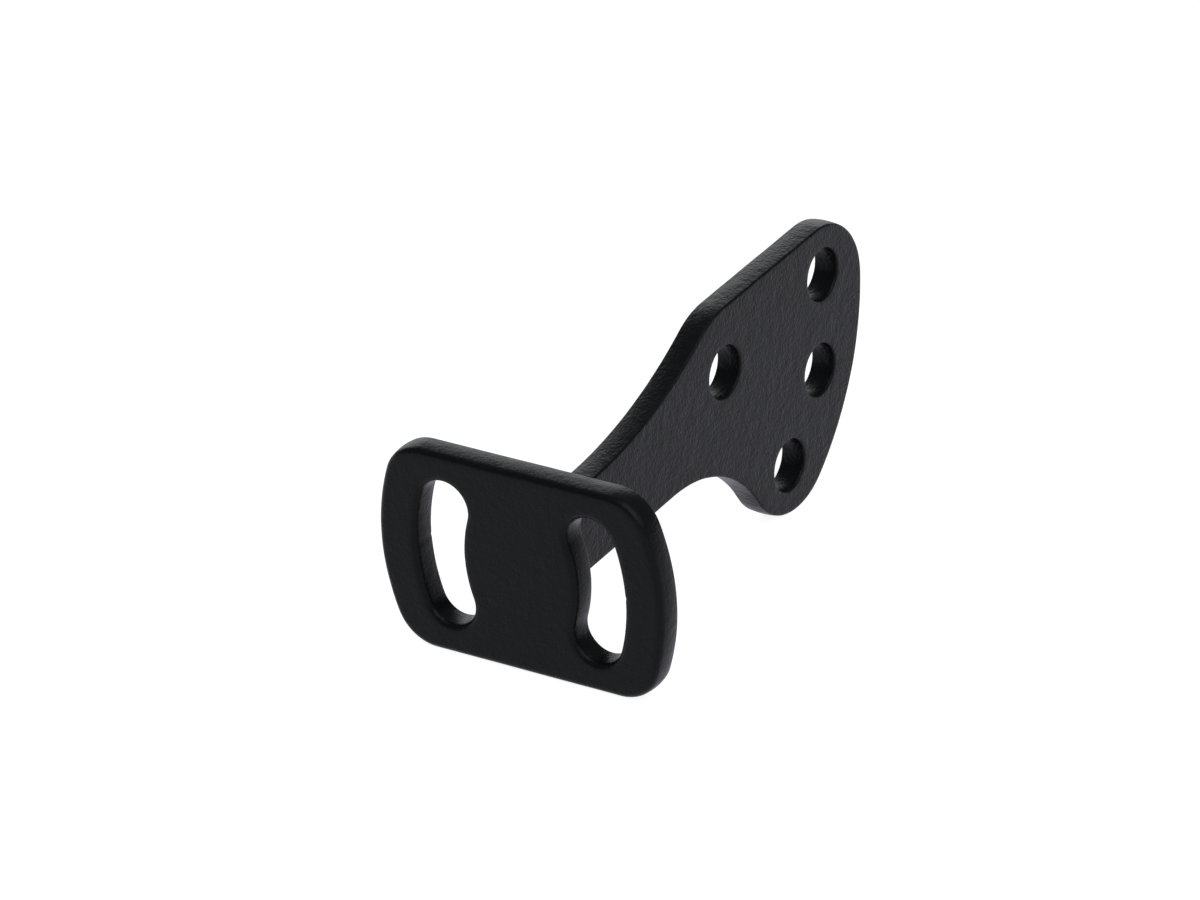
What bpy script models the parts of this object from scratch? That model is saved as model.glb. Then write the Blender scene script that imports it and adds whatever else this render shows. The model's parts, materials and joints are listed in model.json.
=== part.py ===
# Adapter plate: a slotted face plate with a flat arm standing square on the middle of its back.
# The arm widens into a head with a pivot hole and three index holes on an arc round it.
#
# Frame: the origin is the middle of the face plate's front face. +X runs across the plate,
# +Y runs back along the arm, +Z is up. All driving sizes are in millimetres.

import math

import bmesh
import bpy
from mathutils import Vector

MM = 0.001

# Slots: both walls of a slot and the plate's end are arcs about one centre across the middle line
ARC_CENTRE_OFFSET = 7.1
SLOT_CENTRE_X = 8.85         # middle of a slot from the middle of the plate, at mid height
SLOT_WIDTH = 5.05
SLOT_HEIGHT = 14.9           # over both round ends

# Face plate, 31.3 wide and 21 high, set out from its slots
FACE_END_WALL = 4.275        # from a slot to the plate's bowed end
FACE_EDGE_WALL = 3.05        # from a slot to the straight top or bottom edge
FACE_THICKNESS = 2.7
FACE_CORNER_RADIUS = 4.4

# Arm
ARM_THICKNESS = 2.7
NECK_TOP_Z = 4.85            # the neck's upper edge where it leaves the plate
NECK_TOP_STRAIGHT_END_Y = 8.5
NECK_TOP_RADIUS = 42.5       # the upper edge sweeps up towards the head
NECK_BOTTOM_Z = -4.25        # the neck's lower edge where it leaves the plate
NECK_BOTTOM_RISE = 2.5       # degrees
THROAT_RADIUS = 15.5         # hollow between the neck's lower edge and the head
SHOULDER_WALL = 5.7          # the shoulder's radius is a hole's and this

# Holes in the head
HOLE_DIAMETER = 5.2
PIVOT_Y = 33.75
PIVOT_Z = 5.35
INDEX_RADIUS = 17.8          # index holes from the pivot hole
INDEX_MIDDLE_ANGLE = -24.3   # degrees against +Y
INDEX_STEP = 31.7            # degrees between two index holes

# Head, set out from its holes: a fan with a round outer edge, two straight sides, two round corners
HEAD_SHIFT_Y = -0.55         # the fan's centre from the pivot hole
HEAD_SHIFT_Z = 1.15
HEAD_EDGE_WALL = 4.65        # the fan's radius is as far as the index holes reach and this
HEAD_LEAN = -2.9             # degrees, the fan's middle line against the middle index hole
HEAD_SIDE_TUCK = 2.2         # degrees, the sides splay this much less than the outer index holes
HEAD_SIDE_WALL = 2.86        # a straight side passes the fan's centre at a hole's radius and this
HEAD_CORNER_WALL = 4.7       # a corner's radius is a hole's and this

# Edges and root
FRONT_RIM_RADIUS = 0.75      # front edges of the face plate and its slots, well rounded
BACK_RIM_RADIUS = 0.2        # their back edges
ARM_RIM_RADIUS = 0.25        # edges of the arm and its holes
WALL_CROWN = 0.08            # every narrow wall bulges this far in the middle
ROOT_FILLET = 1.0            # where the arm meets the plate
ROOT_DIP = 0.03              # the fillet's curve runs this far under the faces that it joins
ARM_BURY = 1.2               # the arm's root runs into the plate this far

# Fineness of the mesh
FRONT_RIM_STEPS = 4
RIM_STEPS = 2
ROOT_STEPS = 4
CROWN_STEPS = 4
ARC_CHORD = 0.012            # how far a chord may lie inside its arc, mm
HOLE_SIDES = 32

COATING_COLOUR = (0.012, 0.012, 0.0135, 1.0)
COATING_ROUGHNESS = 0.55


def clear_scene():
    for item in list(bpy.data.objects):
        bpy.data.objects.remove(item, do_unlink=True)


def direction(angle):
    return Vector((math.cos(angle), math.sin(angle)))


def heading(vector):
    return math.atan2(vector.y, vector.x)


def arc(centre, radius, start, end, hollow=False, sides=None):
    """Points along an arc, each with the unit normal that leaves the material.

    A hollow arc has its material outside the circle, as a hole or a throat has.
    """
    sweep = abs(end - start)
    if sides is None:
        step = 2.0 * math.acos(max(-1.0, 1.0 - ARC_CHORD / radius))
        sides = max(2, math.ceil(sweep / step))
    loop = []
    for i in range(sides + 1):
        ray = direction(start + (end - start) * i / sides)
        loop.append((centre + ray * radius, -ray if hollow else ray))
    return loop


def turn_forward(start, end):
    """The end angle, moved by whole turns so that it follows the start anticlockwise."""
    while end < start:
        end += 2.0 * math.pi
    return end


def tidy_loop(loop):
    """Drops the points that two neighbouring arcs share."""
    kept = []
    for point, normal in loop:
        if not kept or (point - kept[-1][0]).length > 1e-4:
            kept.append((point, normal))
    if (kept[0][0] - kept[-1][0]).length <= 1e-4:
        kept.pop()
    return kept


def mirrored(loop, across_x=False, across_z=False):
    """The same outline reflected, in the opposite order so that it can join its twin."""
    sx = -1.0 if across_x else 1.0
    sz = -1.0 if across_z else 1.0
    turned = [(Vector((p.x * sx, p.y * sz)), Vector((n.x * sx, n.y * sz))) for p, n in loop]
    return turned[::-1]


def face_outline():
    """Bowed ends, straight top and bottom, four round corners."""
    centre = Vector((-ARC_CENTRE_OFFSET, 0.0))
    end_radius = ARC_CENTRE_OFFSET + SLOT_CENTRE_X + SLOT_WIDTH / 2.0 + FACE_END_WALL
    corner_z = SLOT_HEIGHT / 2.0 + FACE_EDGE_WALL - FACE_CORNER_RADIUS
    corner_reach = end_radius - FACE_CORNER_RADIUS
    corner_x = centre.x + math.sqrt(corner_reach ** 2 - corner_z ** 2)
    corner = Vector((corner_x, corner_z))
    meet = heading(corner - centre)
    quarter = arc(centre, end_radius, 0.0, meet)
    quarter += arc(corner, FACE_CORNER_RADIUS, meet, math.pi / 2.0)
    right = mirrored(quarter, across_z=True) + quarter
    return tidy_loop(right + mirrored(right, across_x=True))


def slot_outline(side):
    """A curved slot with round ends, bowed away from the middle of the plate."""
    centre = Vector((-ARC_CENTRE_OFFSET, 0.0))
    middle_radius = SLOT_CENTRE_X + ARC_CENTRE_OFFSET
    half_width = SLOT_WIDTH / 2.0
    end_z = SLOT_HEIGHT / 2.0 - half_width
    spread = math.asin(end_z / middle_radius)
    upper = centre + direction(spread) * middle_radius
    lower = centre + direction(-spread) * middle_radius
    loop = arc(centre, middle_radius + half_width, -spread, spread, hollow=True)
    loop += arc(upper, half_width, spread, spread + math.pi, hollow=True)
    loop += arc(centre, middle_radius - half_width, spread, -spread)
    loop += arc(lower, half_width, math.pi - spread, 2.0 * math.pi - spread, hollow=True)
    loop = tidy_loop(loop)
    return loop if side > 0 else mirrored(loop, across_x=True)


def round_hole(centre, diameter):
    return tidy_loop(arc(centre, diameter / 2.0, 0.0, 2.0 * math.pi, hollow=True, sides=HOLE_SIDES))


def neck_bottom_z(y):
    """Height of the neck's straight lower edge at a distance behind the front face."""
    return NECK_BOTTOM_Z + (y - FACE_THICKNESS) * math.tan(math.radians(NECK_BOTTOM_RISE))


def arm_outline():
    """Side view of the arm, (y, z): neck, throat, fan-shaped head, shoulder and back to the neck."""
    hole_radius = HOLE_DIAMETER / 2.0
    shoulder_radius = hole_radius + SHOULDER_WALL
    corner_radius = hole_radius + HEAD_CORNER_WALL
    fan_radius = INDEX_RADIUS + hole_radius + HEAD_EDGE_WALL
    side_offset = hole_radius + HEAD_SIDE_WALL
    fan = Vector((PIVOT_Y + HEAD_SHIFT_Y, PIVOT_Z + HEAD_SHIFT_Z))
    axis = math.radians(INDEX_MIDDLE_ANGLE + HEAD_LEAN)
    opening = math.radians(INDEX_STEP - HEAD_SIDE_TUCK)
    upper_run = direction(axis + opening)
    upper_out = Vector((-upper_run.y, upper_run.x))
    lower_run = direction(axis - opening)
    lower_out = Vector((lower_run.y, -lower_run.x))

    # Both corners touch a straight side and the round outer edge
    inset = side_offset - corner_radius
    reach = math.sqrt((fan_radius - corner_radius) ** 2 - inset ** 2)
    upper_corner = fan + upper_run * reach + upper_out * inset
    lower_corner = fan + lower_run * reach + lower_out * inset

    # The throat touches the neck's lower edge and the head's lower side
    rise = math.radians(NECK_BOTTOM_RISE)
    bottom_run = direction(rise)
    bottom_out = Vector((bottom_run.y, -bottom_run.x))
    start = Vector((0.0, neck_bottom_z(0.0)))
    a = THROAT_RADIUS + start.dot(bottom_out)
    b = THROAT_RADIUS + side_offset + fan.dot(lower_out)
    cross = bottom_out.x * lower_out.y - bottom_out.y * lower_out.x
    throat = Vector((a * lower_out.y - b * bottom_out.y, b * bottom_out.x - a * lower_out.x)) / cross

    # The shoulder touches the head's upper side and the neck's sweeping upper edge
    sweep = Vector((NECK_TOP_STRAIGHT_END_Y, NECK_TOP_Z + NECK_TOP_RADIUS))
    base = fan + upper_out * (side_offset - shoulder_radius)
    offset = base - sweep
    along = offset.dot(upper_run)
    gap = (NECK_TOP_RADIUS + shoulder_radius) ** 2 - offset.length_squared + along ** 2
    shoulder = base + upper_run * (math.sqrt(gap) - along)

    # The root is buried in the plate, with small corners there
    root_y = FACE_THICKNESS - ARM_BURY
    root_radius = 2.0 * ARM_RIM_RADIUS
    root_low = Vector((root_y + root_radius, neck_bottom_z(root_y + root_radius) + root_radius))
    root_high = Vector((root_y + root_radius, NECK_TOP_Z - root_radius))

    loop = arc(root_low, root_radius, math.pi, heading(bottom_out) + 2.0 * math.pi)
    loop += arc(throat, THROAT_RADIUS, heading(-bottom_out), heading(-lower_out), hollow=True)
    first = heading(lower_out)
    last = turn_forward(first, heading(lower_corner - fan))
    loop += arc(lower_corner, corner_radius, first, last)
    loop += arc(fan, fan_radius, heading(lower_corner - fan), heading(upper_corner - fan))
    loop += arc(upper_corner, corner_radius, heading(upper_corner - fan), heading(upper_out))
    loop += arc(shoulder, shoulder_radius, heading(upper_out), heading(sweep - shoulder))
    loop += arc(sweep, NECK_TOP_RADIUS, heading(shoulder - sweep), -math.pi / 2.0, hollow=True)
    loop += arc(root_high, root_radius, math.pi / 2.0, math.pi)
    return tidy_loop(loop)


def hole_centres():
    pivot = Vector((PIVOT_Y, PIVOT_Z))
    centres = [pivot]
    for place in (1, 0, -1):
        angle = math.radians(INDEX_MIDDLE_ANGLE + place * INDEX_STEP)
        centres.append(pivot + direction(angle) * INDEX_RADIUS)
    return centres


def skin(bm, rings):
    """Joins neighbouring rings of the same length with a band of faces."""
    for lower, upper in zip(rings, rings[1:]):
        count = len(lower)
        for i in range(count):
            j = (i + 1) % count
            bm.faces.new((lower[i], lower[j], upper[j], upper[i]))


def ring_edges(bm, ring):
    count = len(ring)
    return [bm.edges.get((ring[i], ring[(i + 1) % count])) for i in range(count)]


def finish_mesh(bm, name):
    bmesh.ops.recalc_face_normals(bm, faces=bm.faces)
    mesh = bpy.data.meshes.new(name)
    bm.to_mesh(mesh)
    bm.free()
    mesh.shade_smooth()
    mesh.set_sharp_from_angle(angle=math.radians(50.0))
    item = bpy.data.objects.new(name, mesh)
    bpy.context.scene.collection.objects.link(item)
    return item


def rim(radius, steps):
    """A quarter round edge as (inset, depth) from the face's border out to the wall."""
    turns = [math.pi / 2.0 * i / steps for i in range(steps + 1)]
    return [(radius * (1.0 - math.sin(turn)), radius * (1.0 - math.cos(turn))) for turn in turns]


def crown(steps):
    """The bulge of a narrow wall at even steps between its two rims, as (part way, bulge)."""
    ways = [i / steps for i in range(1, steps)]
    return [(way, WALL_CROWN * 4.0 * way * (1.0 - way)) for way in ways]


def plate(name, outlines, low, high, low_rim, high_rim, place):
    """A flat plate between two levels, cut to its outlines, with every edge rounded.

    The first outline is the outer one, the rest are holes. The two rims are the edges' round
    sections at the low and the high face. place turns (u, v, level) into a point.
    """
    bm = bmesh.new()
    levels = [(inset, low + depth) for inset, depth in low_rim]
    wall_low = low + low_rim[-1][1]
    wall_high = high - high_rim[-1][1]
    levels += [(-bulge, wall_low + (wall_high - wall_low) * way) for way, bulge in crown(CROWN_STEPS)]
    levels += [(inset, high - depth) for inset, depth in high_rim[::-1]]
    bottom = []
    top = []
    for outline in outlines:
        rings = []
        for inset, level in levels:
            ring = []
            for point, normal in outline:
                spot = point - normal * inset
                ring.append(bm.verts.new(place(spot.x, spot.y, level) * MM))
            rings.append(ring)
        skin(bm, rings)
        bottom += ring_edges(bm, rings[0])
        top += ring_edges(bm, rings[-1])
    for edges in (bottom, top):
        bmesh.ops.triangle_fill(bm, edges=edges, use_beauty=True)
    return finish_mesh(bm, name)


def root_section(y, grow):
    """Outline of the arm's root across the neck at one distance, grown outwards, (x, z)."""
    half = ARM_THICKNESS / 2.0 + grow
    top = NECK_TOP_Z + grow
    bottom = neck_bottom_z(y) - grow
    radius = ARM_RIM_RADIUS + max(grow, 0.0)
    loop = []
    for quarter, (x, z) in enumerate(((half, top), (-half, top), (-half, bottom), (half, bottom))):
        corner = Vector((x - math.copysign(radius, x), z - radius if quarter < 2 else z + radius))
        start = quarter * math.pi / 2.0
        for point, _ in arc(corner, radius, start, start + math.pi / 2.0, sides=ROOT_STEPS):
            loop.append(Vector((point.x, y, point.y)) * MM)
        if quarter % 2 == 0:
            for way, bulge in crown(CROWN_STEPS):
                across = x - math.copysign(radius, x)
                level = z + math.copysign(bulge, z)
                loop.append(Vector((across * (1.0 - 2.0 * way), y, level)) * MM)
    return loop


def root_fillet(name):
    """The fillet all round the arm at the back of the plate.

    Its hollow curve dips just under both faces, so that it ends inside them.
    """
    curve_y = FACE_THICKNESS + ROOT_FILLET
    curve_radius = ROOT_FILLET + ROOT_DIP
    sections = [(FACE_THICKNESS - ARM_BURY / 2.0, ROOT_FILLET)]
    for i in range(ROOT_STEPS + 1):
        turn = math.pi / 2.0 * i / ROOT_STEPS
        y = curve_y - curve_radius * math.cos(turn)
        sections.append((y, ROOT_FILLET - curve_radius * math.sin(turn)))
    bm = bmesh.new()
    rings = [[bm.verts.new(p) for p in root_section(y, grow)] for y, grow in sections]
    skin(bm, rings)
    bm.faces.new(rings[0])
    bm.faces.new(rings[-1])
    return finish_mesh(bm, name)


def coating():
    material = bpy.data.materials.new("black_powder_coat")
    material.use_nodes = True
    shader = material.node_tree.nodes["Principled BSDF"]
    shader.inputs["Base Color"].default_value = COATING_COLOUR
    shader.inputs["Roughness"].default_value = COATING_ROUGHNESS
    shader.inputs["Metallic"].default_value = 0.0
    material.diffuse_color = COATING_COLOUR
    return material


def join(body, piece):
    """Makes the piece one with the body."""
    union = body.modifiers.new(piece.name, "BOOLEAN")
    union.operation = "UNION"
    union.solver = "EXACT"
    union.object = piece
    piece.hide_render = True
    piece.display_type = "WIRE"


def build():
    clear_scene()
    body = plate(
        "adapter_plate",
        [face_outline(), slot_outline(1), slot_outline(-1)],
        0.0,
        FACE_THICKNESS,
        rim(FRONT_RIM_RADIUS, FRONT_RIM_STEPS),
        rim(BACK_RIM_RADIUS, RIM_STEPS),
        lambda u, v, level: Vector((u, level, v)),
    )
    arm = plate(
        "arm_blank",
        [arm_outline()] + [round_hole(centre, HOLE_DIAMETER) for centre in hole_centres()],
        -ARM_THICKNESS / 2.0,
        ARM_THICKNESS / 2.0,
        rim(ARM_RIM_RADIUS, RIM_STEPS),
        rim(ARM_RIM_RADIUS, RIM_STEPS),
        lambda u, v, level: Vector((level, u, v)),
    )
    fillet = root_fillet("root_fillet_blank")
    material = coating()
    for item in (body, arm, fillet):
        item.data.materials.append(material)
    join(body, arm)
    join(body, fillet)


build()
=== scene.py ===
# %% [markdown]
# # An adapter plate in black powder coat
#
# The object is one small rigid bracket of black coated steel. A face plate with two curved slots
# takes the screws. A flat arm stands square on the middle of its back and widens into a fan-shaped
# head, with a pivot hole and three index holes on an arc round it.
#
# Nothing on it moves, so the whole look rests on three things: true outlines, soft coated edges,
# and the fine grain of the powder coat. The lesson makes them in that order, and then sets up the
# studio. The frame is the solid model's: the origin is the middle of the face plate's front face,
# +X runs across the plate, +Y back along the arm and +Z up, all in metres.

# %% Load the solid model
import json
import math

import bmesh
import bpy
import numpy as np
from mathutils import Matrix, Vector, geometry, kdtree

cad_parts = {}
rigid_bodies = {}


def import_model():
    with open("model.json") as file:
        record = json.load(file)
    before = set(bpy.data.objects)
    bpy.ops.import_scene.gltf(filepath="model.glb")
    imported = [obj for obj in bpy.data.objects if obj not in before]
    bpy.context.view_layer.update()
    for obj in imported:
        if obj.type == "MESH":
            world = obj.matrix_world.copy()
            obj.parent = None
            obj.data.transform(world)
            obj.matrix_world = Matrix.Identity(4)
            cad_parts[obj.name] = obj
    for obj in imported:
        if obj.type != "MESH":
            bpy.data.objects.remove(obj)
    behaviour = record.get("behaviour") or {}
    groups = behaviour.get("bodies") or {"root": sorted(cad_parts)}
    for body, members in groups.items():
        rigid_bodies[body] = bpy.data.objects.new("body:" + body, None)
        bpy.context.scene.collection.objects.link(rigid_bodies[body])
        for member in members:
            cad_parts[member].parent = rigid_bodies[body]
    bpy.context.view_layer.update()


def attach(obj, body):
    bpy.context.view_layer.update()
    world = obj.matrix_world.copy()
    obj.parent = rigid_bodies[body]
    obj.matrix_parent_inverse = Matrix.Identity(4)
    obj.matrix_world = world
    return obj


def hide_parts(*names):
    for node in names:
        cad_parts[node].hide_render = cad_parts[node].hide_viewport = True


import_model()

MM = 0.001

# %% [markdown]
# ## Outlines from arcs and tangents
#
# A stamped or cast plate is drawn with straight lines and arcs that meet smoothly. Each outline
# could be drawn by hand as a curve, but a rule keeps every tangent exact. So an outline here is a
# list of points, each with the direction that leaves the material there. That direction is what
# later lets the rounded edge grow outwards from the flat face by the same amount all the way round.
#
# An arc is divided evenly, so that its facets stay as small as the grain of the coat. A hollow arc,
# such as a hole's wall, has its material outside the circle.

# %% Arcs
FACET = 0.34          # length of a facet along an arc, mm
ARC_SHARE = 0.1       # a small arc's facets are at most this share of its radius
STRAIGHT = 1.2 * FACET    # length of a step along a straight run
SAME_POINT = 1e-4     # points nearer than this are one
QUARTER = math.pi / 2.0
FULL = 2.0 * math.pi


def direction(angle):
    return Vector((math.cos(angle), math.sin(angle)))


def heading(vector):
    return math.atan2(vector.y, vector.x)


def arc(centre, radius, start, end, hollow=False):
    length = min(FACET, radius * ARC_SHARE)
    sides = max(2, math.ceil(abs(end - start) * radius / length))
    loop = []
    for i in range(sides + 1):
        ray = direction(start + (end - start) * i / sides)
        loop.append((centre + ray * radius, -ray if hollow else ray))
    return loop


def close_loop(loop):
    """Drops doubled points where arcs meet, and divides the straight runs between them."""
    kept = []
    for point, normal in loop:
        if not kept or (point - kept[-1][0]).length > SAME_POINT:
            kept.append((point, normal))
    if (kept[0][0] - kept[-1][0]).length <= SAME_POINT:
        kept.pop()
    even = []
    for (point, normal), (after, _) in zip(kept, kept[1:] + kept[:1]):
        even.append((point, normal))
        steps = math.ceil((after - point).length / STRAIGHT)
        run = (after - point).normalized()
        for i in range(1, steps):
            side = Vector((run.y, -run.x))
            if side.dot(normal) < 0.0:
                side = -side
            even.append((point.lerp(after, i / steps), side))
    return even


def mirrored(loop, across_x=False, across_z=False):
    sx = -1.0 if across_x else 1.0
    sz = -1.0 if across_z else 1.0
    turned = [(Vector((p.x * sx, p.y * sz)), Vector((n.x * sx, n.y * sz))) for p, n in loop]
    return turned[::-1]


print("a hole of 5.2 mm gets", len(arc(Vector((0, 0)), 2.6, 0.0, FULL)) - 1, "facets")

# %% [markdown]
# ## The face plate's outlines
#
# Both ends of the plate bow outwards, and the slots bow with them: the end and both walls of a slot
# are arcs about one centre, across the middle of the plate. So a screw can slide in its slot while
# the plate turns a little. Top and bottom are straight, and the corners are round.

# %% Face plate
FACE_THICKNESS = 2.7
END_RADIUS = 22.75
ARC_CENTRE = Vector((-7.1, 0.0))   # of the right end and the right slot
FACE_TOP = 10.5
FACE_CORNER = 4.4
SLOT_RADIUS = 15.95   # a slot's middle line
SLOT_HALF_WIDTH = 2.525
SLOT_END = 4.925      # height of the round end's centre
NICK = 0.06           # a small mark at mid height of each slot's outer wall, as a cut leaves it


def face_outline():
    corner_z = FACE_TOP - FACE_CORNER
    corner_x = ARC_CENTRE.x + math.sqrt((END_RADIUS - FACE_CORNER) ** 2 - corner_z ** 2)
    corner = Vector((corner_x, corner_z))
    meet = heading(corner - ARC_CENTRE)
    quarter = arc(ARC_CENTRE, END_RADIUS, 0.0, meet)
    quarter += arc(corner, FACE_CORNER, meet, QUARTER)
    right = mirrored(quarter, across_z=True) + quarter
    return close_loop(right + mirrored(right, across_x=True))


def slot_outline(side):
    spread = math.asin(SLOT_END / SLOT_RADIUS)
    upper = ARC_CENTRE + direction(spread) * SLOT_RADIUS
    lower = ARC_CENTRE + direction(-spread) * SLOT_RADIUS
    loop = arc(ARC_CENTRE, SLOT_RADIUS + SLOT_HALF_WIDTH, -spread, spread, hollow=True)
    point, normal = loop[len(loop) // 2]
    loop[len(loop) // 2] = (point - normal * NICK, normal)
    loop += arc(upper, SLOT_HALF_WIDTH, spread, spread + math.pi, hollow=True)
    loop += arc(ARC_CENTRE, SLOT_RADIUS - SLOT_HALF_WIDTH, spread, -spread)
    loop += arc(lower, SLOT_HALF_WIDTH, math.pi - spread, FULL - spread, hollow=True)
    return close_loop(loop if side > 0 else mirrored(loop, across_x=True))


face_loops = [face_outline(), slot_outline(1), slot_outline(-1)]
print("face plate outlines:", [len(loop) for loop in face_loops], "points")

# %% [markdown]
# ## The arm's outline
#
# Seen from the side, the arm leaves the plate as a narrow neck. Its upper edge sweeps up to a
# shoulder, its lower edge runs into a round throat, and between them the head opens like a fan.
# Each arc touches its neighbours, so their centres follow from the radii. Points are (y, z).

# %% Arm
ARM_THICKNESS = 2.7
ARM_ROOT = 1.5        # the arm starts inside the plate, this far behind its front face
ROOT_CORNER = 0.6     # round corners there, which the plate hides
NECK_TOP = 4.85
NECK_BOTTOM = -4.25   # at the back of the plate
NECK_RISE = math.radians(2.5)
SWEEP = Vector((8.5, 47.35))    # centre of the long hollow arc above the neck
SWEEP_RADIUS = 42.5
THROAT_RADIUS = 15.5
SHOULDER_RADIUS = 8.3
FAN = Vector((33.2, 6.5))       # centre of the head's round end
FAN_RADIUS = 25.05
FAN_CORNER = 7.3
SIDE_OFFSET = 5.46    # from the fan's centre to its two straight sides
UPPER_RUN = direction(math.radians(2.3))
LOWER_RUN = direction(math.radians(-56.7))
HOLE_RADIUS = 2.6
PIVOT = Vector((33.75, 5.35))
INDEX_RADIUS = 17.8   # from the pivot hole to each index hole
INDEX_ANGLES = [math.radians(angle) for angle in (7.4, -24.3, -56.0)]


def neck_bottom(y):
    return NECK_BOTTOM + (y - FACE_THICKNESS) * math.tan(NECK_RISE)


def arm_outline():
    upper_out = Vector((-UPPER_RUN.y, UPPER_RUN.x))
    lower_out = Vector((LOWER_RUN.y, -LOWER_RUN.x))
    inset = SIDE_OFFSET - FAN_CORNER
    reach = math.sqrt((FAN_RADIUS - FAN_CORNER) ** 2 - inset ** 2)
    upper_corner = FAN + UPPER_RUN * reach + upper_out * inset
    lower_corner = FAN + LOWER_RUN * reach + lower_out * inset

    bottom_run = direction(NECK_RISE)
    bottom_out = Vector((bottom_run.y, -bottom_run.x))
    a = THROAT_RADIUS + Vector((0.0, neck_bottom(0.0))).dot(bottom_out)
    b = THROAT_RADIUS + SIDE_OFFSET + FAN.dot(lower_out)
    cross = bottom_out.x * lower_out.y - bottom_out.y * lower_out.x
    throat = Vector((a * lower_out.y - b * bottom_out.y, b * bottom_out.x - a * lower_out.x)) / cross

    base = FAN + upper_out * (SIDE_OFFSET - SHOULDER_RADIUS)
    along = (base - SWEEP).dot(UPPER_RUN)
    gap = (SWEEP_RADIUS + SHOULDER_RADIUS) ** 2 - (base - SWEEP).length_squared + along ** 2
    shoulder = base + UPPER_RUN * (math.sqrt(gap) - along)

    start = ARM_ROOT + ROOT_CORNER
    low = Vector((start, neck_bottom(start) + ROOT_CORNER))
    high = Vector((start, NECK_TOP - ROOT_CORNER))
    loop = arc(low, ROOT_CORNER, math.pi, heading(bottom_out) + FULL)
    loop += arc(throat, THROAT_RADIUS, heading(-bottom_out), heading(-lower_out), hollow=True)
    loop += arc(lower_corner, FAN_CORNER, heading(lower_out), heading(lower_corner - FAN))
    loop += arc(FAN, FAN_RADIUS, heading(lower_corner - FAN), heading(upper_corner - FAN))
    loop += arc(upper_corner, FAN_CORNER, heading(upper_corner - FAN), heading(upper_out))
    loop += arc(shoulder, SHOULDER_RADIUS, heading(upper_out), heading(SWEEP - shoulder))
    loop += arc(SWEEP, SWEEP_RADIUS, heading(shoulder - SWEEP), -QUARTER, hollow=True)
    loop += arc(high, ROOT_CORNER, QUARTER, math.pi)
    return close_loop(loop)


hole_centres = [PIVOT] + [PIVOT + direction(angle) * INDEX_RADIUS for angle in INDEX_ANGLES]
arm_loops = [arm_outline()]
for centre in hole_centres:
    arm_loops.append(close_loop(arc(centre, HOLE_RADIUS, 0.0, FULL, hollow=True)))
print("arm outlines:", [len(loop) for loop in arm_loops], "points")

# %% [markdown]
# ## An even sheet
#
# A flat face could be one big polygon, but the coat on it is not perfectly flat, and long thin
# triangles would catch the light in stripes. So each face is filled with an even net of points,
# and Blender's constrained Delaunay triangulation joins them without crossing an outline. The
# sheet lies one edge radius inside the true outline, and keeps the outward direction of each of
# its border points as an attribute for the next step. The face plate's front edges are rounder
# than its back edges, so each plate gets a front sheet and a back sheet of its own.

# %% An even net of points
NET_PITCH = 0.4       # between neighbours, mm
NET_MARGIN = 0.7      # kept clear along the outlines, in pitches
ROW_SHARE = math.sqrt(0.75)   # from row to row, in pitches


def inside(points, loops):
    """Even-odd test of many points against closed loops."""
    hit = np.zeros(len(points), bool)
    for loop in loops:
        ends = np.roll(loop, -1, axis=0)
        for (x0, y0), (x1, y1) in zip(loop, ends):
            if y0 == y1:
                continue
            level = (points[:, 1] > min(y0, y1)) & (points[:, 1] <= max(y0, y1))
            at = x0 + (points[:, 1] - y0) * (x1 - x0) / (y1 - y0)
            hit ^= level & (points[:, 0] < at)
    return hit


def net(loops, pitch):
    """A triangular net of points inside the loops, kept a little off their borders."""
    border = np.concatenate(loops)
    low, high = border.min(0), border.max(0)
    rows = np.arange(low[1], high[1], pitch * ROW_SHARE)
    points = [(x + (i % 2) * pitch / 2.0, y)
              for i, y in enumerate(rows) for x in np.arange(low[0], high[0], pitch)]
    points = np.array(points)
    points = points[inside(points, loops)]
    tree = kdtree.KDTree(len(border))
    for i, (x, y) in enumerate(border):
        tree.insert((x, y, 0.0), i)
    tree.balance()
    clear = [tree.find((x, y, 0.0))[2] > NET_MARGIN * pitch for x, y in points]
    return points[np.array(clear)]


arm_border = np.array([tuple(point) for point, _ in arm_loops[0]])
print("net inside the arm's outline:", len(net([arm_border], NET_PITCH)), "points")

# %% Fill the outlines with even triangles
FRONT_RIM = 0.69      # edge radius on the face plate's front and round its slots
BACK_RIM = 0.2        # the same at its back
ARM_RIM = 0.25        # the arm's edges are crisper
CLOSE = 1e-6          # how near two points must be for the triangulation to join them


def sheet(name, outlines, inset):
    rings = [np.array([tuple(p - n * inset) for p, n in loop]) for loop in outlines]
    points = [Vector(p) for ring in rings for p in ring]
    outward = [n for loop in outlines for _, n in loop]
    edges = []
    for ring in rings:
        start = len(edges)
        edges += [(start + i, start + (i + 1) % len(ring)) for i in range(len(ring))]
    points += [Vector(p) for p in net(rings, NET_PITCH)]
    filled = geometry.delaunay_2d_cdt(points, edges, [], 0, CLOSE)
    spots = np.array([tuple(v) for v in filled[0]])
    faces = np.array(filled[2])
    faces = faces[inside(spots[faces].mean(1), rings)]
    mesh = bpy.data.meshes.new(name)
    mesh.from_pydata([(x * MM, y * MM, 0.0) for x, y in spots], [], faces.tolist())
    mark = mesh.attributes.new("outward", "FLOAT_VECTOR", "POINT")
    for i, source in enumerate(filled[3]):
        if source and source[0] < len(outward):
            mark.data[i].vector = outward[source[0]].to_3d()
    item = bpy.data.objects.new(name, mesh)
    bpy.context.scene.collection.objects.link(item)
    print(name, len(faces), "triangles")
    return item


face_sheet = sheet("face_front_sheet", face_loops, FRONT_RIM)
face_back_sheet = sheet("face_back_sheet", face_loops, BACK_RIM)
arm_sheet = sheet("arm_left_sheet", arm_loops, ARM_RIM)
arm_back_sheet = sheet("arm_right_sheet", arm_loops, ARM_RIM)

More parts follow.
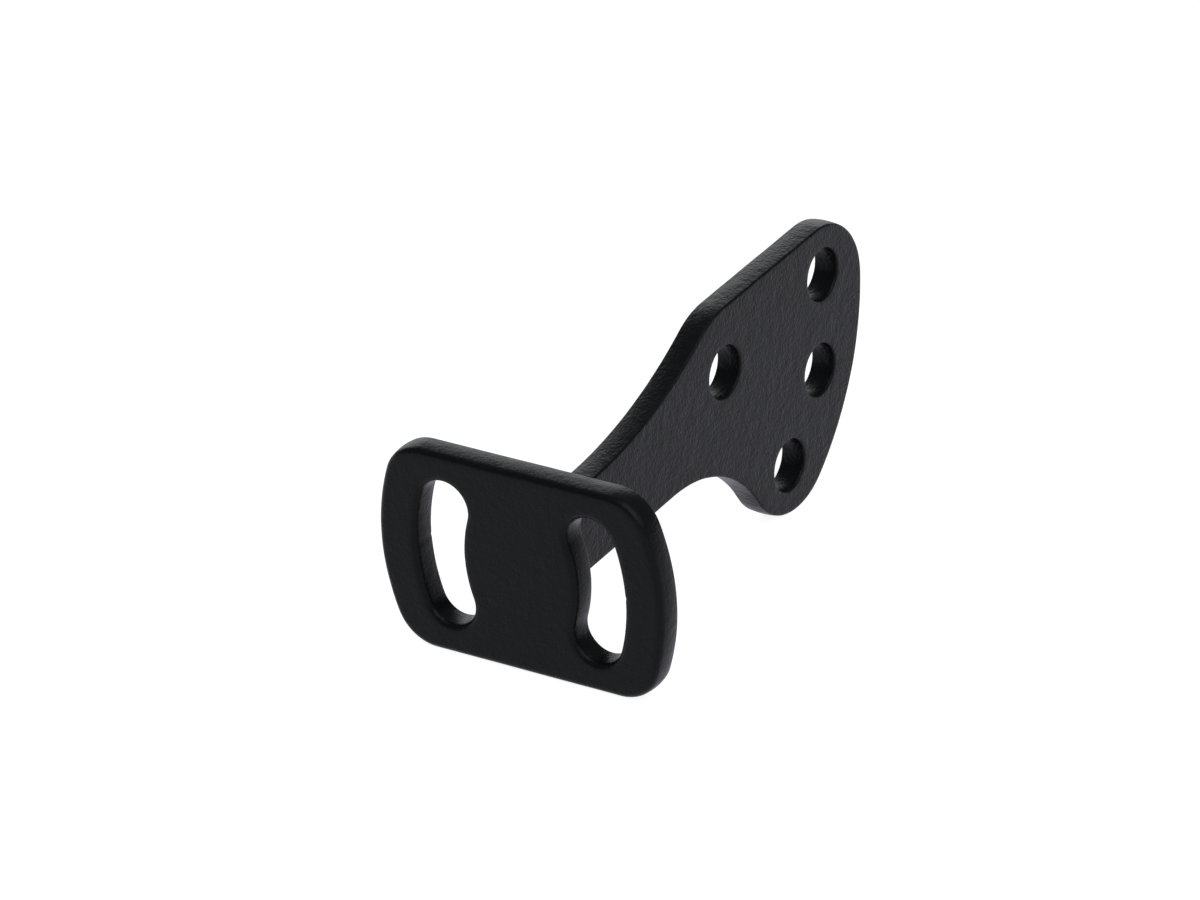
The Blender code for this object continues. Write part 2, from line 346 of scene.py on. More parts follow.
# %% [markdown]
# ## From a sheet to a plate, with Geometry Nodes
#
# The rule for the rest of a plate is the same everywhere. From the sheet's border, a quarter-round
# edge turns outwards, the wall runs straight through the thickness, and a second quarter round
# turns back in to the opposite face. This is an extrusion of the border, repeated in a loop, with
# each new ring set to its own place. A Bevel modifier would also round the edges, but it struggles
# with a net this dense.
#
# The first rings share one quarter turn and the last rings another, and the rings between them
# divide the wall evenly. The wall itself is not flat but crowned: melted powder draws back from an
# edge and gathers in the middle of a narrow wall, so the wall bulges by nearly a tenth of a
# millimetre, and its gloss fades softly from one side to the other.

# %% Node helpers


def wire(tree, source, target):
    tree.links.new(source, target)


def sum_node(tree, operation, first, second=None, clamp=False):
    """One Math node; a number or a socket for each input."""
    node = tree.nodes.new("ShaderNodeMath")
    node.operation = operation
    node.use_clamp = clamp
    for slot, value in zip(node.inputs, (first, second)):
        if value is None:
            continue
        if isinstance(value, (int, float)):
            slot.default_value = value
        else:
            wire(tree, value, slot)
    return node.outputs[0]


def vector_node(tree, operation, first, second):
    """Adds two vectors, or scales a vector by a number."""
    node = tree.nodes.new("ShaderNodeVectorMath")
    node.operation = operation
    wire(tree, first, node.inputs[0])
    wire(tree, second, node.inputs["Scale" if operation == "SCALE" else 1])
    return node.outputs[0]


print("node helpers: wire, sum_node, vector_node")

# %% Tree helpers


def new_tree(name, numbers):
    """A node tree with a geometry input and named numbers, each a (name, kind, value)."""
    tree = bpy.data.node_groups.new(name, "GeometryNodeTree")
    tree.is_modifier = True
    sockets = tree.interface
    sockets.new_socket(name="Geometry", in_out="INPUT", socket_type="NodeSocketGeometry")
    sockets.new_socket(name="Geometry", in_out="OUTPUT", socket_type="NodeSocketGeometry")
    for title, kind, value in numbers:
        made = sockets.new_socket(name=title, in_out="INPUT", socket_type="NodeSocket" + kind)
        if value is not None:
            made.default_value = value
    return tree, tree.nodes.new("NodeGroupInput"), tree.nodes.new("NodeGroupOutput")


def finish_tree(tree, geometry_out, group_in, group_out):
    """Ends a tree in Realize Instances and Set Material."""
    realize = tree.nodes.new("GeometryNodeRealizeInstances")
    paint = tree.nodes.new("GeometryNodeSetMaterial")
    wire(tree, geometry_out, realize.inputs["Geometry"])
    wire(tree, realize.outputs["Geometry"], paint.inputs["Geometry"])
    wire(tree, group_in.outputs["Coat"], paint.inputs["Material"])
    wire(tree, paint.outputs["Geometry"], group_out.inputs["Geometry"])


def run_tree(item, tree, values):
    """Runs a tree on an object and keeps the result as a plain mesh."""
    modifier = item.modifiers.new(tree.name, "NODES")
    modifier.node_group = tree
    ids = {s.name: s.identifier for s in tree.interface.items_tree if s.in_out == "INPUT"}
    for title, value in values.items():
        modifier[ids[title]] = value
    graph = bpy.context.evaluated_depsgraph_get()
    made = bpy.data.meshes.new_from_object(item.evaluated_get(graph), depsgraph=graph)
    item.modifiers.remove(modifier)
    item.data = made


print("tree helpers: new_tree, finish_tree, run_tree")

# %% Where each ring of the edge goes
def ring_place(tree, given, ring, total):
    """A ring's way outwards and its height, from its number and how many there are."""
    front = given.outputs["Front Radius"]
    rear = given.outputs["Back Radius"]
    rings = given.outputs["Edge Rings"]
    past_first = sum_node(tree, "SUBTRACT", ring, rings)
    to_last = sum_node(tree, "SUBTRACT", total, ring)
    first = sum_node(tree, "DIVIDE", ring, rings, clamp=True)
    middle = sum_node(tree, "DIVIDE", past_first, given.outputs["Wall Rings"], clamp=True)
    last = sum_node(tree, "DIVIDE", to_last, rings, clamp=True)
    first_turn = sum_node(tree, "MULTIPLY", first, QUARTER)
    last_turn = sum_node(tree, "MULTIPLY", last, QUARTER)

    out_front = sum_node(tree, "MULTIPLY", sum_node(tree, "SINE", first_turn), front)
    back_in = sum_node(tree, "SUBTRACT", 1.0, sum_node(tree, "SINE", last_turn))
    reach = sum_node(tree, "SUBTRACT", out_front, sum_node(tree, "MULTIPLY", back_in, rear))
    rest = sum_node(tree, "SUBTRACT", 1.0, middle)
    bulge = sum_node(tree, "MULTIPLY", sum_node(tree, "MULTIPLY", middle, rest), 4.0)
    bulge = sum_node(tree, "MULTIPLY", bulge, given.outputs["Crown"])
    reach = sum_node(tree, "ADD", reach, bulge)

    rise = sum_node(tree, "SUBTRACT", 1.0, sum_node(tree, "COSINE", first_turn))
    rise = sum_node(tree, "MULTIPLY", rise, front)
    both_radii = sum_node(tree, "ADD", front, rear)
    wall_run = sum_node(tree, "SUBTRACT", given.outputs["Thickness"], both_radii)
    wall_run = sum_node(tree, "MULTIPLY", middle, wall_run)
    last_rise = sum_node(tree, "MULTIPLY", sum_node(tree, "COSINE", last_turn), rear)
    lift = sum_node(tree, "ADD", sum_node(tree, "ADD", rise, wall_run), last_rise)
    return reach, lift


print("a ring's place: a quarter turn out, the crowned wall, a quarter turn in")

# %% Tree: sheet to plate
WELD = 2e-6           # metres, joins the last ring to the back sheet


def plate_tree():
    tree, given, out = new_tree("sheet_to_plate", [
        ("Back Sheet", "Object", None),
        ("Thickness", "Float", 0.002),
        ("Front Radius", "Float", 0.0003),
        ("Back Radius", "Float", 0.0003),
        ("Crown", "Float", 0.0001),
        ("Edge Rings", "Int", 5),
        ("Wall Rings", "Int", 5),
        ("Coat", "Material", None),
    ])
    new = tree.nodes.new
    edge_rings = sum_node(tree, "MULTIPLY", given.outputs["Edge Rings"], 2.0)
    total = sum_node(tree, "ADD", edge_rings, given.outputs["Wall Rings"])

    place = new("GeometryNodeInputPosition")
    keep = new("GeometryNodeStoreNamedAttribute")
    keep.data_type = "FLOAT_VECTOR"
    keep.inputs["Name"].default_value = "start"
    wire(tree, given.outputs["Geometry"], keep.inputs["Geometry"])
    wire(tree, place.outputs[0], keep.inputs["Value"])

    begin = new("GeometryNodeRepeatInput")
    end = new("GeometryNodeRepeatOutput")
    begin.pair_with_output(end)
    wire(tree, total, begin.inputs["Iterations"])
    wire(tree, keep.outputs["Geometry"], begin.inputs["Geometry"])

    border = new("GeometryNodeInputMeshEdgeNeighbors")
    is_open = sum_node(tree, "COMPARE", border.outputs[0], 1.0)
    extrude = new("GeometryNodeExtrudeMesh")
    extrude.mode = "EDGES"
    extrude.inputs["Offset Scale"].default_value = 0.0
    wire(tree, begin.outputs["Geometry"], extrude.inputs["Mesh"])
    wire(tree, is_open, extrude.inputs["Selection"])

    ring = sum_node(tree, "ADD", begin.outputs["Iteration"], 1.0)
    reach, lift = ring_place(tree, given, ring, total)

    def named(title):
        node = new("GeometryNodeInputNamedAttribute")
        node.data_type = "FLOAT_VECTOR"
        node.inputs["Name"].default_value = title
        return node.outputs["Attribute"]

    push = vector_node(tree, "SCALE", named("outward"), reach)
    sideways = vector_node(tree, "ADD", named("start"), push)
    upward = new("ShaderNodeCombineXYZ")
    wire(tree, lift, upward.inputs["Z"])
    spot = vector_node(tree, "ADD", sideways, upward.outputs[0])
    move = new("GeometryNodeSetPosition")
    wire(tree, extrude.outputs["Mesh"], move.inputs["Geometry"])
    wire(tree, extrude.outputs["Top"], move.inputs["Selection"])
    wire(tree, spot, move.inputs["Position"])
    wire(tree, move.outputs["Geometry"], end.inputs["Geometry"])

    cover = new("GeometryNodeTransform")
    flip = new("GeometryNodeFlipFaces")
    height = new("ShaderNodeCombineXYZ")
    wire(tree, given.outputs["Thickness"], height.inputs["Z"])
    other = new("GeometryNodeObjectInfo")
    wire(tree, given.outputs["Back Sheet"], other.inputs["Object"])
    wire(tree, other.outputs["Geometry"], flip.inputs["Mesh"])
    wire(tree, flip.outputs["Mesh"], cover.inputs["Geometry"])
    wire(tree, height.outputs[0], cover.inputs["Translation"])
    join = new("GeometryNodeJoinGeometry")
    wire(tree, cover.outputs["Geometry"], join.inputs["Geometry"])
    wire(tree, end.outputs["Geometry"], join.inputs["Geometry"])
    weld = new("GeometryNodeMergeByDistance")
    weld.inputs["Distance"].default_value = WELD
    wire(tree, join.outputs["Geometry"], weld.inputs["Geometry"])
    finish_tree(tree, weld.outputs["Geometry"], given, out)
    return tree


sheet_to_plate = plate_tree()
print("sheet_to_plate:", len(sheet_to_plate.nodes), "nodes")

# %% [markdown]
# ## Both plates stand in place
#
# The face plate's thickness runs along Y and the arm's along X. The arm starts 1.5 mm behind the
# front face, inside the plate, so the two overlap and can become one body. Turning a flat sheet
# into place can leave its faces pointing inwards, so they are made to point out again.

# %% Make and place the plates
coat = bpy.data.materials.new("black_powder_coat")
EDGE_RINGS = 5
WALL_RINGS = 8
WALL_CROWN = 0.08     # bulge in the middle of a wall


def stand(item, rows, shift=(0.0, 0.0, 0.0)):
    """Turns a plate's mesh so that its own x, y and level run along three given axes."""
    item.data.transform(Matrix.Translation(Vector(shift) * MM) @ Matrix(rows).to_4x4())
    work = bmesh.new()
    work.from_mesh(item.data)
    bmesh.ops.triangulate(work, faces=work.faces)
    bmesh.ops.recalc_face_normals(work, faces=work.faces)
    work.to_mesh(item.data)
    work.free()


for item, rear, thickness, front_rim, back_rim in (
        (face_sheet, face_back_sheet, FACE_THICKNESS, FRONT_RIM, BACK_RIM),
        (arm_sheet, arm_back_sheet, ARM_THICKNESS, ARM_RIM, ARM_RIM)):
    run_tree(item, sheet_to_plate, {
        "Back Sheet": rear,
        "Thickness": thickness * MM,
        "Front Radius": front_rim * MM,
        "Back Radius": back_rim * MM,
        "Crown": WALL_CROWN * MM,
        "Edge Rings": EDGE_RINGS,
        "Wall Rings": WALL_RINGS,
        "Coat": coat,
    })
    bpy.data.objects.remove(rear)
stand(face_sheet, ((1, 0, 0), (0, 0, 1), (0, 1, 0)))
stand(arm_sheet, ((0, 0, 1), (1, 0, 0), (0, 1, 0)), shift=(-ARM_THICKNESS / 2.0, 0.0, 0.0))
print("face plate", len(face_sheet.data.polygons), "arm", len(arm_sheet.data.polygons), "triangles")

# %% [markdown]
# ## The fillet at the root
#
# Where the arm meets the plate, the coat bridges the corner in a small hollow curve. It is a skin
# over a stack of rounded sections, each a little wider than the last. Its ends dip just under
# both surfaces, because faces that only touch leave an exact union nothing clear to cut. Each end
# is closed by a fan of triangles round a middle point. A single many-sided face would be split
# along its straight sides into triangles with no area, and the union would take the skin as open.

# %% Root fillet
ROOT_RADIUS = 1.0
ROOT_DIP = 0.006      # how far its ends dip under the surfaces
ROOT_RINGS = 9
ROOT_START = 2.0      # its first section lies inside the face plate
ROOT_STEP = 0.45      # along a section


def root_section(y, grow):
    half = ARM_THICKNESS / 2.0 + grow
    top = NECK_TOP + grow
    bottom = neck_bottom(y) - grow
    radius = ARM_RIM + max(grow, 0.0)
    points = []
    for i, (x, z) in enumerate(((half, top), (-half, top), (-half, bottom), (half, bottom))):
        corner = Vector((x - math.copysign(radius, x), z - radius if i < 2 else z + radius))
        for j in range(ROOT_RINGS + 1):
            ray = direction((i + j / ROOT_RINGS) * QUARTER)
            points.append(corner + ray * radius)
    even = []
    for point, after in zip(points, points[1:] + points[:1]):
        steps = max(1, math.ceil((after - point).length / ROOT_STEP))
        even += [point.lerp(after, k / steps) for k in range(steps)]
    flat = half - radius
    for point in even:
        if abs(point.x) < flat:
            point.y += math.copysign(WALL_CROWN * (1.0 - (point.x / flat) ** 2), point.y)
    return [Vector((p.x, y, p.y)) * MM for p in even]


def root_fillet():
    radius = ROOT_RADIUS + ROOT_DIP
    sections = [(ROOT_START, ROOT_RADIUS)]
    for i in range(ROOT_RINGS + 1):
        turn = QUARTER * i / ROOT_RINGS
        y = FACE_THICKNESS + ROOT_RADIUS - radius * math.cos(turn)
        sections.append((y, ROOT_RADIUS - radius * math.sin(turn)))
    count = min(len(root_section(y, grow)) for y, grow in sections)
    work = bmesh.new()
    rings = []
    for y, grow in sections:
        ring = root_section(y, grow)
        rings.append([work.verts.new(ring[round(i * len(ring) / count) % len(ring)])
                      for i in range(count)])
    for low, high in zip(rings, rings[1:]):
        for i in range(count):
            j = (i + 1) % count
            work.faces.new((low[i], low[j], high[j], high[i]))
    for ring in (rings[0], rings[-1]):
        centre = work.verts.new(sum((vert.co for vert in ring), Vector()) / count)
        for i in range(count):
            work.faces.new((ring[i], ring[(i + 1) % count], centre))
    bmesh.ops.triangulate(work, faces=work.faces)
    bmesh.ops.recalc_face_normals(work, faces=work.faces)
    mesh = bpy.data.meshes.new("root_fillet")
    work.to_mesh(mesh)
    work.free()
    item = bpy.data.objects.new("root_fillet", mesh)
    bpy.context.scene.collection.objects.link(item)
    return item


fillet = root_fillet()
print("root fillet", len(fillet.data.polygons), "triangles")

# %% [markdown]
# ## One body
#
# On the real part the arm and the plate are one piece under one coat, so here they become one
# closed skin too. The parts could simply be left to overlap, but hidden walls inside a body show
# up as wrong volume or as dark seams. An exact union leaves none. It works on several cores at
# once and can hand its points over in any order, so they are sorted, and the same script always
# gives the same mesh.

# %% Join into one body
SAME_VERTEX = 1e-6    # metres
NO_LENGTH = 1e-7


def in_order(mesh):
    """The same mesh with its points and faces in a fixed order."""
    spots = np.empty(len(mesh.vertices) * 3, np.float32)
    mesh.vertices.foreach_get("co", spots)
    spots = spots.reshape(-1, 3)
    order = np.lexsort(spots.T)
    rank = np.argsort(order).tolist()
    faces = []
    for face in mesh.polygons:
        loop = [rank[i] for i in face.vertices]
        first = loop.index(min(loop))
        faces.append(loop[first:] + loop[:first])
    made = bpy.data.meshes.new(mesh.name)
    made.from_pydata(spots[order].tolist(), [], sorted(faces))
    return made


def unite(body, *others):
    for other in others:
        modifier = body.modifiers.new("union", "BOOLEAN")
        modifier.operation = "UNION"
        modifier.solver = "EXACT"
        modifier.object = other
        graph = bpy.context.evaluated_depsgraph_get()
        merged = bpy.data.meshes.new_from_object(body.evaluated_get(graph), depsgraph=graph)
        body.modifiers.remove(modifier)
        body.data = in_order(merged)
        bpy.data.objects.remove(other)
    work = bmesh.new()
    work.from_mesh(body.data)
    bmesh.ops.remove_doubles(work, verts=work.verts, dist=SAME_VERTEX)
    bmesh.ops.dissolve_degenerate(work, edges=work.edges, dist=NO_LENGTH)
    bmesh.ops.triangulate(work, faces=work.faces)
    bmesh.ops.recalc_face_normals(work, faces=work.faces)
    open_edges = sum(len(edge.link_faces) != 2 for edge in work.edges)
    volume = work.calc_volume(signed=True) / MM ** 3
    work.to_mesh(body.data)
    work.free()
    print("one body:", len(body.data.polygons), "triangles,", open_edges, "open edges,",
          round(volume, 1), "cubic mm")


plate = face_sheet
unite(plate, arm_sheet, fillet)
plate.name = plate.data.name = "coated_plate"

# %% [markdown]
# ## The coat's gentle unevenness
#
# Powder melts and flows a little before it sets, so a coated face is never as flat as the steel
# under it. It rolls by a few hundredths of a millimetre over one to four millimetres, and that is
# what makes a reflection wander along an edge. The coat is worked in as a small move along the
# surface normal, and always inwards, so that the part keeps its true size.

# %% Tree: coat unevenness
COAT_DEPTH = 0.055 * MM
COAT_WAVES = 260.0    # per metre
COAT_SEED = 3.7
WAVE_DETAIL = 2.0     # octaves finer than the first
WAVE_ROUGHNESS = 0.62


def coat_tree():
    tree, given, out = new_tree("coat_unevenness", [
        ("Depth", "Float", 0.00002),
        ("Waves per Metre", "Float", 300.0),
        ("Seed", "Float", 0.0),
        ("Coat", "Material", None),
    ])
    new = tree.nodes.new
    noise = new("ShaderNodeTexNoise")
    noise.noise_dimensions = "4D"
    noise.inputs["Detail"].default_value = WAVE_DETAIL
    noise.inputs["Roughness"].default_value = WAVE_ROUGHNESS
    wire(tree, given.outputs["Waves per Metre"], noise.inputs["Scale"])
    wire(tree, given.outputs["Seed"], noise.inputs["W"])
    drop = sum_node(tree, "MULTIPLY", noise.outputs["Fac"], given.outputs["Depth"])
    drop = sum_node(tree, "MULTIPLY", drop, -1.0)
    normal = new("GeometryNodeInputNormal")
    push = vector_node(tree, "SCALE", normal.outputs[0], drop)
    move = new("GeometryNodeSetPosition")
    smooth = new("GeometryNodeSetShadeSmooth")
    wire(tree, given.outputs["Geometry"], move.inputs["Geometry"])
    wire(tree, push, move.inputs["Offset"])
    wire(tree, move.outputs["Geometry"], smooth.inputs["Geometry"])
    finish_tree(tree, smooth.outputs["Geometry"], given, out)
    return tree


run_tree(plate, coat_tree(), {
    "Depth": COAT_DEPTH,
    "Waves per Metre": COAT_WAVES,
    "Seed": COAT_SEED,
    "Coat": coat,
})
low, high = np.array(plate.bound_box).min(0), np.array(plate.bound_box).max(0)
print("coated size:", np.round((high - low) / MM, 3), "mm")

# %% [markdown]
# ## The powder coat
#
# Fine textured black powder coat is a hard plastic skin, so it is not metallic: a near-black
# colour with a faint cool tint, and a soft gloss that only shows where light comes in low. Its
# grain is round and a third of a millimetre across. It could be a picture laid over the part, but
# noise in the part's own space needs no seams and has the same size on every face.
#
# Several scales work together. A fine grain, small pebbles with creases between them and a slower
# roll go to the bump, one more noise changes the gloss from spot to spot, and rare small pits from
# a Voronoi pattern break the evenness. The coat lies smoother on the face plate than on the arm.

# %% Colours and scales of the coat
COAT_SPECULAR = 0.107
COAT_TINT = (0.90, 0.96, 1.0, 1.0)
COAT_DARK = (0.0036, 0.0037, 0.0040, 1.0)
COAT_LIGHT = (0.0045, 0.0047, 0.0052, 1.0)
COAT_ROUGHNESS = (0.31, 0.39)
GLOSS_SCALE = 900.0       # scales are per metre
GLOSS_DETAIL = 3.0
GLOSS_ROUGHNESS = 0.6
GRAIN_SCALE = 3900.0
GRAIN_HEIGHT = 0.045 * MM
PEBBLE_SCALE = 2300.0
PEBBLE_HEIGHT = 0.016 * MM
ROLL_SCALE = 1100.0
ROLL_HEIGHT = 0.055 * MM
NOISE_RANGE = (0.3, 0.7)  # where nearly all of a noise's values lie
print("across one grain, pebble and roll:",
      [round(1.0 / scale / MM, 2) for scale in (GRAIN_SCALE, PEBBLE_SCALE, ROLL_SCALE)], "mm")

# %% Fields that the coat is made of


def noise_field(tree, place, scale, detail=1.0, roughness=0.5):
    node = tree.nodes.new("ShaderNodeTexNoise")
    node.inputs["Scale"].default_value = scale
    node.inputs["Detail"].default_value = detail
    node.inputs["Roughness"].default_value = roughness
    wire(tree, place, node.inputs["Vector"])
    return node.outputs["Fac"]


def cell_field(tree, place, scale):
    """The distance from the nearest of many scattered points, in cells."""
    node = tree.nodes.new("ShaderNodeTexVoronoi")
    node.inputs["Scale"].default_value = scale
    wire(tree, place, node.inputs["Vector"])
    return node.outputs["Distance"]


def map_range(tree, value, from_low, from_high, to_low, to_high):
    node = tree.nodes.new("ShaderNodeMapRange")
    for title, number in (("From Min", from_low), ("From Max", from_high),
                          ("To Min", to_low), ("To Max", to_high)):
        node.inputs[title].default_value = number
    wire(tree, value, node.inputs["Value"])
    return node.outputs["Result"]


print("fields: noise, cells")

# %% Height of the coat
PIT_SCALE = 420.0
PIT_EDGE = (0.03, 0.12)   # from a pit's floor to its rim, in cells
PIT_DEPTH = 0.03 * MM
PATCH_SCALE = 160.0       # pits lie in patches, where this noise is high
PATCH_LEVEL = 0.62
FACE_GRAIN = 0.6          # share of the height on the face plate, and on the arm
ARM_GRAIN = 1.05
GRAIN_CHANGE = (0.5 * MM, 5.0 * MM)   # from the plate's front to the arm behind it


def coat_height(tree, place, grain):
    pit = map_range(tree, cell_field(tree, place, PIT_SCALE), *PIT_EDGE, 1.0, 0.0)
    patch = sum_node(tree, "GREATER_THAN", noise_field(tree, place, PATCH_SCALE), PATCH_LEVEL)
    pit = sum_node(tree, "MULTIPLY", pit, patch)
    pebbles = cell_field(tree, place, PEBBLE_SCALE)
    roll = noise_field(tree, place, ROLL_SCALE)
    height = sum_node(tree, "MULTIPLY", grain, GRAIN_HEIGHT)
    for operation, field, size in (("SUBTRACT", pebbles, PEBBLE_HEIGHT),
                                   ("ADD", roll, ROLL_HEIGHT),
                                   ("SUBTRACT", pit, PIT_DEPTH)):
        height = sum_node(tree, operation, height, sum_node(tree, "MULTIPLY", field, size))
    axes = tree.nodes.new("ShaderNodeSeparateXYZ")
    wire(tree, place, axes.inputs[0])
    strength = map_range(tree, axes.outputs["Y"], *GRAIN_CHANGE, FACE_GRAIN, ARM_GRAIN)
    return sum_node(tree, "MULTIPLY", height, strength)


print("grain on the face plate and the arm:", FACE_GRAIN, ARM_GRAIN)

# %% Powder coat


def powder_coat(material):
    material.use_nodes = True
    tree = material.node_tree
    shader = tree.nodes["Principled BSDF"]
    shader.inputs["Specular IOR Level"].default_value = COAT_SPECULAR
    shader.inputs["Specular Tint"].default_value = COAT_TINT
    place = tree.nodes.new("ShaderNodeTexCoord").outputs["Object"]
    grain = noise_field(tree, place, GRAIN_SCALE)

    bump = tree.nodes.new("ShaderNodeBump")
    bump.inputs["Distance"].default_value = 1.0
    wire(tree, coat_height(tree, place, grain), bump.inputs["Height"])
    wire(tree, bump.outputs["Normal"], shader.inputs["Normal"])

    tone = noise_field(tree, place, GLOSS_SCALE, GLOSS_DETAIL, GLOSS_ROUGHNESS)
    gloss = map_range(tree, tone, *NOISE_RANGE, *COAT_ROUGHNESS)
    wire(tree, gloss, shader.inputs["Roughness"])

    mix = tree.nodes.new("ShaderNodeMix")
    mix.data_type = "RGBA"
    mix.inputs["A"].default_value = COAT_DARK
    mix.inputs["B"].default_value = COAT_LIGHT
    wire(tree, map_range(tree, grain, *NOISE_RANGE, 0.0, 1.0), mix.inputs["Factor"])
    wire(tree, mix.outputs["Result"], shader.inputs["Base Color"])
    material.diffuse_color = COAT_LIGHT


powder_coat(coat)
print("powder coat:", len(coat.node_tree.nodes), "nodes")

# %% [markdown]
# ## Tell the frame what the new skin is
#
# The coated plate takes the solid's place in the picture. The solid stays in the physics model,
# and the skin rides on the same single body.

# %% Fasten to the frame
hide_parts("adapter_plate")
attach(plate, "root")
print("rides on root:", plate.name)

# %% [markdown]
# ## The floor
#
# The part does not stand square on the table. It leans on the front bottom edge of its face plate
# and on the lower lobe of its head, which reaches further down. The floor could be turned level
# and the part tipped instead, but the part keeps its own frame, so here the floor is tipped. Its
# slope is found from the part itself: the one where plate and head touch at the same time.

# %% Find the slope the part rests on
PLATE_ENDS = 3.0 * MM     # the face plate lies in front of this
HEAD_STARTS = 20.0 * MM   # and the head behind this
STEEPEST = math.radians(20.0)
HALVINGS = 40

spots = np.empty(len(plate.data.vertices) * 3)
plate.data.vertices.foreach_get("co", spots)
spots = spots.reshape(-1, 3)
front = spots[spots[:, 1] < PLATE_ENDS]
head = spots[spots[:, 1] > HEAD_STARTS]


def support(points, slope):
    """The lowest level of some points over a floor of this slope."""
    up = np.array((0.0, math.sin(slope), math.cos(slope)))
    return (points @ up).min()


flat, steep = 0.0, STEEPEST
for _ in range(HALVINGS):
    slope = (flat + steep) / 2.0
    if support(head, slope) < support(front, slope):
        flat = slope
    else:
        steep = slope
floor_up = Vector((0.0, math.sin(slope), math.cos(slope)))
floor_level = support(spots, slope)
print("floor slope", round(math.degrees(slope), 2), "degrees")

# %% [markdown]
# The photograph's background is plain white. It comes from the floor's own colour and a glow that
# only the camera and mirror-like rays see, never from brighter lamps, so the soft shadow under the
# part stays and the black coat keeps its depth. What the coat mirrors is a faintly cool white.

# %% Floor
FLOOR_COLOUR = (0.30, 0.30, 0.30, 1.0)
FLOOR_GLOW = 0.9
FLOOR_WHITE = (1.0, 1.0, 1.0, 1.0)
FLOOR_MIRRORED = (0.9, 0.885, 1.0, 1.0)
FLOOR_HALF = 2.0      # metres from its middle to each side


def floor_material():
    material = bpy.data.materials.new("pale_floor")
    material.use_nodes = True
    tree = material.node_tree
    tree.nodes.clear()
    matt = tree.nodes.new("ShaderNodeBsdfDiffuse")
    matt.inputs["Color"].default_value = FLOOR_COLOUR
    rays = tree.nodes.new("ShaderNodeLightPath").outputs
    watched = sum_node(tree, "MULTIPLY", rays["Is Camera Ray"], FLOOR_GLOW)
    mirroring = sum_node(tree, "MAXIMUM", rays["Is Glossy Ray"], rays["Is Transmission Ray"])
    surface = matt.outputs[0]
    for strength, colour in ((watched, FLOOR_WHITE), (mirroring, FLOOR_MIRRORED)):
        glow = tree.nodes.new("ShaderNodeEmission")
        glow.inputs["Color"].default_value = colour
        wire(tree, strength, glow.inputs["Strength"])
        both = tree.nodes.new("ShaderNodeAddShader")
        wire(tree, surface, both.inputs[0])
        wire(tree, glow.outputs[0], both.inputs[1])
        surface = both.outputs[0]
    output = tree.nodes.new("ShaderNodeOutputMaterial")
    wire(tree, surface, output.inputs["Surface"])
    return material


side = Vector((1.0, 0.0, 0.0))
depth = floor_up.cross(side)
middle = floor_up * floor_level
corners = []
for x, y in ((-1, -1), (1, -1), (1, 1), (-1, 1)):
    corners.append(tuple(middle + side * (x * FLOOR_HALF) + depth * (y * FLOOR_HALF)))
floor_mesh = bpy.data.meshes.new("floor")
floor_mesh.from_pydata(corners, [], [(0, 1, 2, 3)])
floor = bpy.data.objects.new("floor", floor_mesh)
bpy.context.scene.collection.objects.link(floor)
floor_mesh.materials.append(floor_material())
print("floor faces up:", floor_mesh.polygons[0].normal.z > 0.9)

# %% [markdown]
# ## Light
#
# The photograph's gloss tells where its lights stood. Every surface that mirrors the low back left
# is bright: the top edges, the throat and the lower wall of the slots. The flat faces mirror the
# floor, and the rest of the room is dark. So a soft panel stands at the back left, close to the
# horizon, a wider one above the camera lights the colours, and the studio round them is dim.

# %% World
ROOM_COLOUR = (0.96, 0.965, 1.0, 1.0)
ROOM_STRENGTH = 0.27
WHITE = (1.0, 1.0, 1.0, 1.0)

world = bpy.data.worlds.new("studio")
bpy.context.scene.world = world
world.use_nodes = True
room = world.node_tree
room.nodes.clear()


def backdrop(colour, strength):
    node = room.nodes.new("ShaderNodeBackground")
    node.inputs["Color"].default_value = colour
    node.inputs["Strength"].default_value = strength
    return node.outputs[0]


rays = room.nodes.new("ShaderNodeLightPath").outputs
seen = sum_node(room, "MAXIMUM", rays["Is Camera Ray"], rays["Is Transmission Ray"])
choose = room.nodes.new("ShaderNodeMixShader")
wire(room, seen, choose.inputs["Fac"])
wire(room, backdrop(ROOM_COLOUR, ROOM_STRENGTH), choose.inputs[1])
wire(room, backdrop(WHITE, 1.0), choose.inputs[2])
output = room.nodes.new("ShaderNodeOutputWorld")
wire(room, choose.outputs[0], output.inputs["Surface"])
print("world:", len(room.nodes), "nodes")

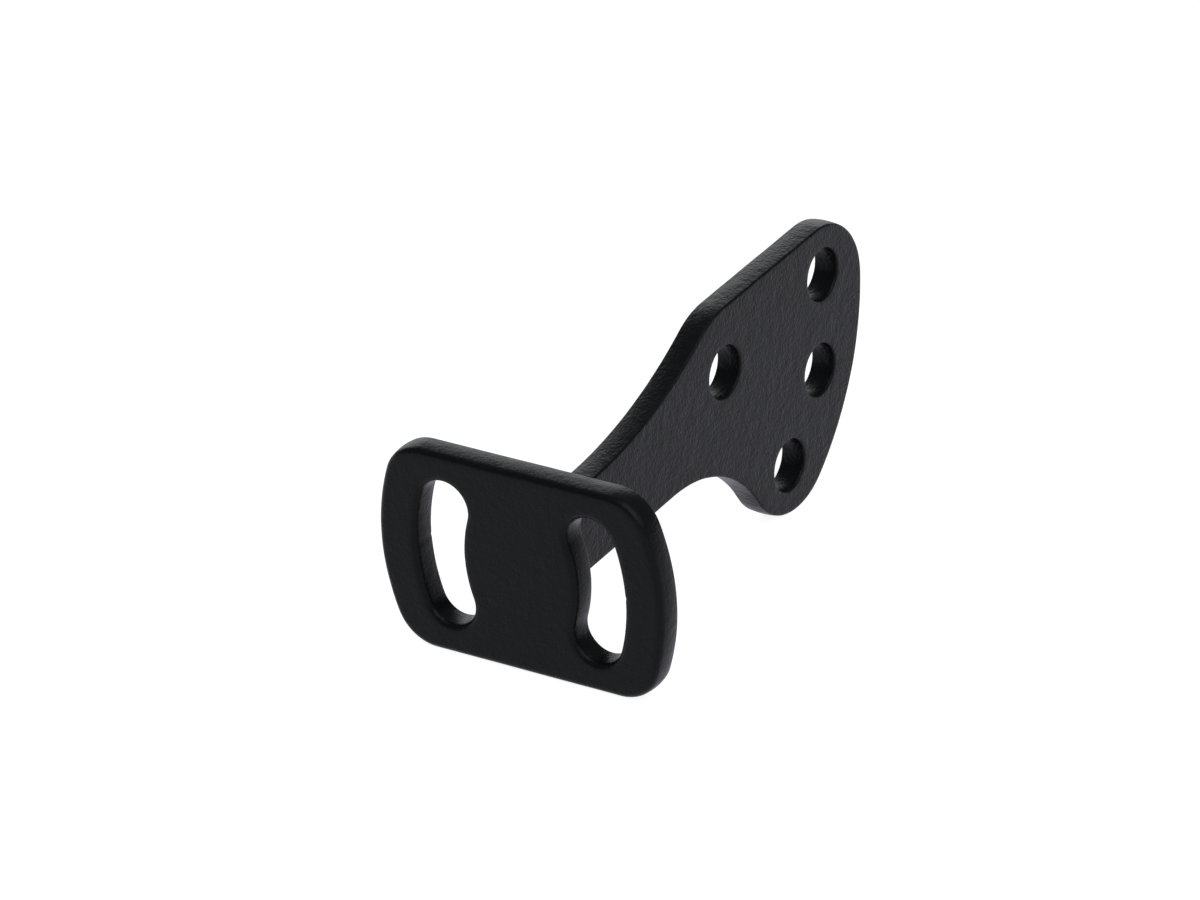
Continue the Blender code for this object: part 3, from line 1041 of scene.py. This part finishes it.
# %% Lamps
PART_MIDDLE = Vector((0.0, 0.025, 0.0))
PANEL_TINT = (0.97, 0.97, 1.0)


def panel(name, toward, distance, width, height, radiance):
    """A soft panel seen from the part in a given direction, as bright as it looks there."""
    data = bpy.data.lights.new(name, "AREA")
    data.shape = "RECTANGLE"
    data.size = width
    data.size_y = height
    data.energy = radiance * math.pi * width * height
    data.color = PANEL_TINT
    item = bpy.data.objects.new(name, data)
    way = Vector(toward).normalized()
    item.location = PART_MIDDLE + way * distance
    item.rotation_euler = way.to_track_quat("Z", "Y").to_euler()
    item.visible_camera = False
    bpy.context.scene.collection.objects.link(item)


panel("back_left_panel", (-0.62, 0.68, 0.34), distance=0.7, width=0.7, height=0.45, radiance=2.1)
panel("overhead_panel", (0.55, -0.25, 0.8), distance=1.0, width=1.1, height=1.1, radiance=2.0)

# %% [markdown]
# ## Camera
#
# The photograph was taken from the front right and above with a long lens, which its nearly
# parallel edges show. The camera's place was found by matching the round holes and the face
# plate's outline. It is rolled by a few degrees, because the part leans on its table.

# %% Camera
SENSOR = 36.0
FOCAL_WIDTHS = 7396.52 / 1200.0       # focal length, in widths of the picture
CAMERA_PLACE = Vector((0.35034, -0.47907, 0.32436))
CAMERA_RIGHT = Vector((0.83326362, 0.5488779, -0.06636859))
CAMERA_UP = Vector((-0.20766174, 0.42196601, 0.88250852))

lens = bpy.data.cameras.new("camera")
lens.sensor_width = SENSOR
lens.lens = FOCAL_WIDTHS * SENSOR
lens.clip_start = 0.01
camera = bpy.data.objects.new("camera", lens)
stance = Matrix((CAMERA_RIGHT, CAMERA_UP, CAMERA_RIGHT.cross(CAMERA_UP))).transposed().to_4x4()
stance.translation = CAMERA_PLACE
camera.matrix_world = stance
bpy.context.scene.collection.objects.link(camera)
bpy.context.scene.camera = camera
print("camera", round(camera.location.length, 3), "m from the origin")

# %% [markdown]
# ## Picture settings
#
# The plain Standard view shows a colour about as it is written.

# %% Finish
bpy.context.scene.view_settings.view_transform = "Standard"
